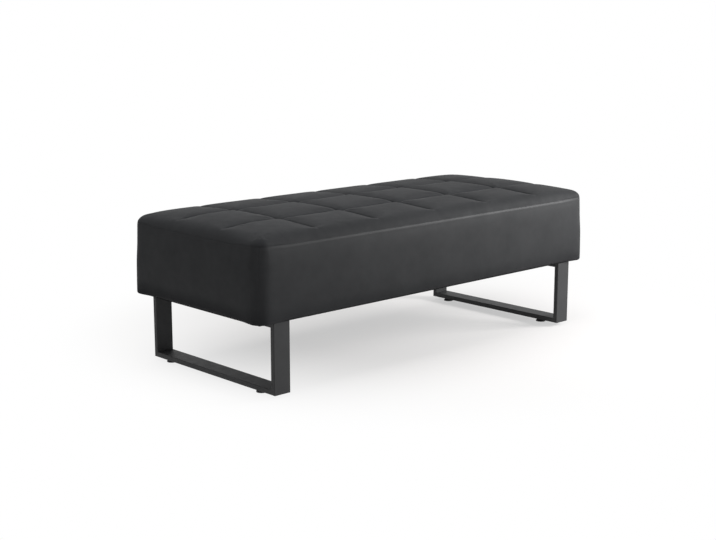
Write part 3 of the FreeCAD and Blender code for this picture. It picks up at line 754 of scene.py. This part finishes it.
def panel(name, node, along_x, sign, seed):
    straight = (HALF_LENGTH if along_x else HALF_DEPTH) - CORNER_RADIUS
    half = HALF_DEPTH if along_x else HALF_LENGTH
    arc = corner_run(16)
    run = [("arc", -1, -a) for a in reversed(arc)]
    steps = max(8, round(2 * straight / 0.012))
    run += [("line", 0, -straight + 2 * straight * k / steps) for k in range(1, steps)]
    run += [("arc", 1, a) for a in arc]
    rows = []
    for kind, end, value in run:
        if kind == "line":
            centre, turn, to_seam = value, 0.0, 1.0
            before = straight - abs(value)
        else:
            turn = value
            centre = end * straight
            to_seam = (math.pi / 4 - abs(turn)) * CORNER_RADIUS
            before = -abs(turn) * CORNER_RADIUS
        profile = panel_profile(float(near_corner(before)))
        groove = math.exp(-(to_seam / GROOVE_WIDTH) ** 2)
        row = []
        for inset, z in profile:
            # The corner seam lies in a groove, deeper above the timber frame
            inset = inset + groove * GROOVE_DEPTH * (1 + float(smooth((z - 0.315) / 0.03)))
            # The corner is drawn rounder above the timber frame
            grown = float(smooth((z - WIDER_LEVEL) / WIDER_HEIGHT))
            wider = WIDER_LOW + (WIDER_HIGH - WIDER_LOW) * grown
            radius = CORNER_RADIUS - inset + wider
            u = centre * (straight - wider) / straight + radius * math.sin(turn)
            v = half - CORNER_RADIUS - wider + radius * math.cos(turn)
            # front: u runs to +x; right: u runs to +y; rear: u to -x; left: u to -y
            if along_x:
                row.append((u, -v, z) if sign < 0 else (-u, v, z))
            else:
                row.append((v, u, z) if sign > 0 else (-v, -u, z))
        rows.append(row)
    points = np.array(rows)
    count_s, count_t = points.shape[:2]
    faces = grid_faces(count_s, count_t, 0, True)
    obj = mesh_object(name, points.reshape(-1, 3), faces, LEATHER)
    flat = points.reshape(-1, 3).copy()
    s, t = np.meshgrid(np.arange(count_s), np.arange(count_t), indexing="ij")
    held = np.flatnonzero(((t < 12) | (t > count_t - 15) | (s < 5) | (s > count_s - 6)).reshape(-1))
    flat = flat + settle(obj, held, PANEL_PRESS_LIMIT, PANEL_PRESSURE)
    wave = noise_at(points.reshape(-1, 3), 5.0, seed) * PANEL_WAVE
    levels = points.reshape(-1, 3)[:, 2]
    height = np.clip((levels - 0.232) / 0.02, 0, 1) * np.clip((0.412 - levels) / 0.02, 0, 1)
    face = (0.0, float(sign)) if along_x else (float(sign), 0.0)
    flat[:, 0] += face[0] * wave * height
    flat[:, 1] += face[1] * wave * height
    obj.data.vertices.foreach_set("co", flat.reshape(-1))
    obj.data.update()
    thick = obj.modifiers.new("thickness", "SOLIDIFY")
    thick.thickness = PANEL_THICKNESS
    thick.offset = -1
    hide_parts(node)
    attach(obj, "bench")


def foam_block():
    xs = np.linspace(-FOAM_HALF[0], FOAM_HALF[0], 113)
    ys = np.linspace(-FOAM_HALF[1], FOAM_HALF[1], 49)
    px, py, depth = plan_grid(xs, ys, *FOAM_HALF, FOAM_RADIUS)
    level = under_top(px, py, depth + FOAM_SIDE_GAP) - FOAM_TOP_GAP
    top = np.stack([px, py, level], axis=-1)
    points, faces = closed_form(xs, ys, FOAM_HALF, FOAM_RADIUS, top, FOAM_RINGS,
                                lambda x, y, d: np.full(x.shape, DECK_TOP + FOAM_DECK_GAP), 8)
    obj = mesh_object("foam_block", points, faces, FOAM)
    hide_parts("foam_core")
    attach(obj, "bench")


def side_wadding():
    # A soft band round the timber frame, rounded at its lower outer edge
    points, faces = [], []
    straight_x, straight_y = HALF_LENGTH - CORNER_RADIUS, HALF_DEPTH - CORNER_RADIUS
    corners = [(1, -1, -90), (1, 1, 0), (-1, 1, 90), (-1, -1, 180)]
    spine = []
    for sx, sy, start in corners:
        for k in range(13):
            turn = math.radians(start + 90 * k / 12)
            spine.append((sx * straight_x, sy * straight_y, math.cos(turn), math.sin(turn)))
        nx, ny = math.cos(math.radians(start + 90)), math.sin(math.radians(start + 90))
        length = 2 * (straight_x if abs(ny) > 0.5 else straight_y)
        for k in range(1, 24):
            ahead = length * k / 24
            spine.append((sx * straight_x - ny * ahead, sy * straight_y + nx * ahead, nx, ny))
    for x, y, nx, ny in spine:
        for inset, z in WADDING_SECTION:
            puff = WADDING_PUFF * noise.noise(Vector((x * 9, y * 9, z * 30)))
            out = CORNER_RADIUS - inset + (puff if inset < 0.011 else 0)
            points.append((x + nx * out, y + ny * out, z))
    rows, cols = len(spine), len(WADDING_SECTION)
    for i in range(rows):
        for j in range(cols):
            a, b = i * cols, ((i + 1) % rows) * cols
            n = (j + 1) % cols
            faces.append((a + j, b + j, b + n, a + n))
    obj = mesh_object("side_wadding", points, faces, WADDING)
    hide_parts("side_padding")
    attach(obj, "bench")


def dust_sheet():
    # Stapled all round, sagging a little in the open bay between the rails
    width, length = 1.376, 0.576
    xs = np.linspace(-width / 2, width / 2, 173)
    ys = np.linspace(-length / 2, length / 2, 73)
    x, y = np.meshgrid(xs, ys, indexing="ij")
    bay = smooth((0.545 - np.abs(x)) / 0.20) * smooth((0.262 - np.abs(y)) / 0.20)
    flat = np.stack([x, y, np.zeros_like(x)], axis=-1).reshape(-1, 3)
    crumple = noise_at(flat, 11.0, 12).reshape(x.shape)
    level = SHEET_LEVEL - SHEET_SAG * bay + SHEET_CRUMPLE * crumple * bay
    points = np.stack([x, y, level], axis=-1).reshape(-1, 3)
    obj = mesh_object("dust_sheet", points, grid_faces(len(xs), len(ys), 0, False), CLOTH)
    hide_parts("dust_cover")
    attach(obj, "bench")


quilted_top()
panel("front_cover_panel", "front_side_panel", True, -1, 1)
panel("rear_cover_panel", "rear_side_panel", True, 1, 2)
panel("left_cover_panel", "left_end_panel", False, -1, 4)
panel("right_cover_panel", "right_end_panel", False, 1, 6)
foam_block()
side_wadding()
dust_sheet()


def background_rays(nodes, links):
    # 1 for what the camera, a reflection or a see-through surface shows
    path = nodes.new("ShaderNodeLightPath")
    value = path.outputs["Is Camera Ray"]
    for kind in ("Is Glossy Ray", "Is Transmission Ray"):
        either = nodes.new("ShaderNodeMath")
        either.operation = "MAXIMUM"
        links.new(value, either.inputs[0])
        links.new(path.outputs[kind], either.inputs[1])
        value = either.outputs["Value"]
    return value


# Floor: pale, keeps the shadow near the bench and runs out to plain white
def floor():
    mat, nodes, links, shader = new_material("studio_floor")
    shader.inputs["Base Color"].default_value = (0.78, 0.75, 0.735, 1)
    shader.inputs["Roughness"].default_value = 0.9
    shader.inputs["Specular IOR Level"].default_value = 0.1
    white = nodes.new("ShaderNodeEmission")
    where = nodes.new("ShaderNodeTexCoord")
    away = nodes.new("ShaderNodeVectorMath")
    away.operation = "LENGTH"
    links.new(where.outputs["Object"], away.inputs[0])
    fade = nodes.new("ShaderNodeMapRange")
    fade.interpolation_type = "SMOOTHSTEP"
    fade.inputs["From Min"].default_value = 0.35
    fade.inputs["From Max"].default_value = 1.15
    fade.inputs["To Min"].default_value = 0.51
    fade.inputs["To Max"].default_value = 1.0
    links.new(away.outputs["Value"], fade.inputs["Value"])
    seen = nodes.new("ShaderNodeMath")
    seen.operation = "MULTIPLY"
    links.new(background_rays(nodes, links), seen.inputs[0])
    links.new(fade.outputs["Result"], seen.inputs[1])
    mix = nodes.new("ShaderNodeMixShader")
    links.new(seen.outputs["Value"], mix.inputs["Fac"])
    links.new(shader.outputs["BSDF"], mix.inputs[1])
    links.new(white.outputs["Emission"], mix.inputs[2])
    below = nodes.new("ShaderNodeNewGeometry")
    clear = nodes.new("ShaderNodeBsdfTransparent")
    sided = nodes.new("ShaderNodeMixShader")
    links.new(below.outputs["Backfacing"], sided.inputs["Fac"])
    links.new(mix.outputs["Shader"], sided.inputs[1])
    links.new(clear.outputs["BSDF"], sided.inputs[2])
    links.new(sided.outputs["Shader"], nodes["Material Output"].inputs["Surface"])
    radius, count = 1.9, 96
    turns = [2 * math.pi * k / count for k in range(count)]
    points = [(radius * math.cos(turn), radius * math.sin(turn), 0) for turn in turns]
    obj = mesh_object("studio_floor", points, [tuple(range(count))], mat)
    obj.location = (0.20, 0.10, 0)


def world():
    back = bpy.data.worlds.new("studio")
    scene.world = back
    back.use_nodes = True
    nodes, links = back.node_tree.nodes, back.node_tree.links
    # White to look at; its light comes mostly from the front right, and less from behind on the left
    where = nodes.new("ShaderNodeTexCoord")
    facing = nodes.new("ShaderNodeVectorMath")
    facing.operation = "DOT_PRODUCT"
    facing.inputs[1].default_value = (0.605, -0.655, -0.453)
    links.new(where.outputs["Generated"], facing.inputs[0])
    side = nodes.new("ShaderNodeMapRange")
    side.interpolation_type = "SMOOTHSTEP"
    side.inputs["From Min"].default_value = -1.0
    side.inputs["From Max"].default_value = 1.0
    side.inputs["To Min"].default_value = 0.30
    side.inputs["To Max"].default_value = 1.0
    links.new(facing.outputs["Value"], side.inputs["Value"])
    dimmer = nodes.new("ShaderNodeMath")
    dimmer.operation = "MULTIPLY"
    dimmer.inputs[1].default_value = 0.55
    links.new(side.outputs["Result"], dimmer.inputs[0])
    fill = nodes["Background"]
    fill.inputs["Color"].default_value = (0.96, 0.98, 1.0, 1)
    links.new(dimmer.outputs["Value"], fill.inputs["Strength"])
    white = nodes.new("ShaderNodeBackground")
    white.inputs["Color"].default_value = (1, 1, 1, 1)
    white.inputs["Strength"].default_value = 1.0
    mix = nodes.new("ShaderNodeMixShader")
    links.new(background_rays(nodes, links), mix.inputs["Fac"])
    links.new(fill.outputs["Background"], mix.inputs[1])
    links.new(white.outputs["Background"], mix.inputs[2])
    links.new(mix.outputs["Shader"], nodes["World Output"].inputs["Surface"])


def lamp(name, place, target, size, power, mirrored=True):
    data = bpy.data.lights.new(name, "AREA")
    data.shape = "RECTANGLE"
    data.size, data.size_y = size
    data.energy = power
    obj = bpy.data.objects.new(name, data)
    obj.location = place
    obj.visible_glossy = mirrored
    obj.rotation_euler = (Vector(target) - Vector(place)).to_track_quat("-Z", "Y").to_euler()
    scene.collection.objects.link(obj)


floor()
world()
lamp("front_right_box", (1.7, -1.35, 0.90), (0.3, -0.25, 0.38), (0.9, 0.5), 51)
lamp("overhead", (-0.6, 0.1, 2.6), (0, 0, 0.3), (2.2, 1.9), 45, mirrored=False)

camera = bpy.data.cameras.new("camera")
camera.sensor_fit = "HORIZONTAL"
camera.sensor_width = 36.0
camera.lens = 36.0 * 1304.0 / 716
eye = bpy.data.objects.new("camera", camera)
eye.location = (-2.7942, -2.9261, 1.0546)
eye.rotation_euler = (math.pi / 2 - 0.20066, 0, -0.7513)
scene.collection.objects.link(eye)
scene.camera = eye

bpy.context.view_layer.update()
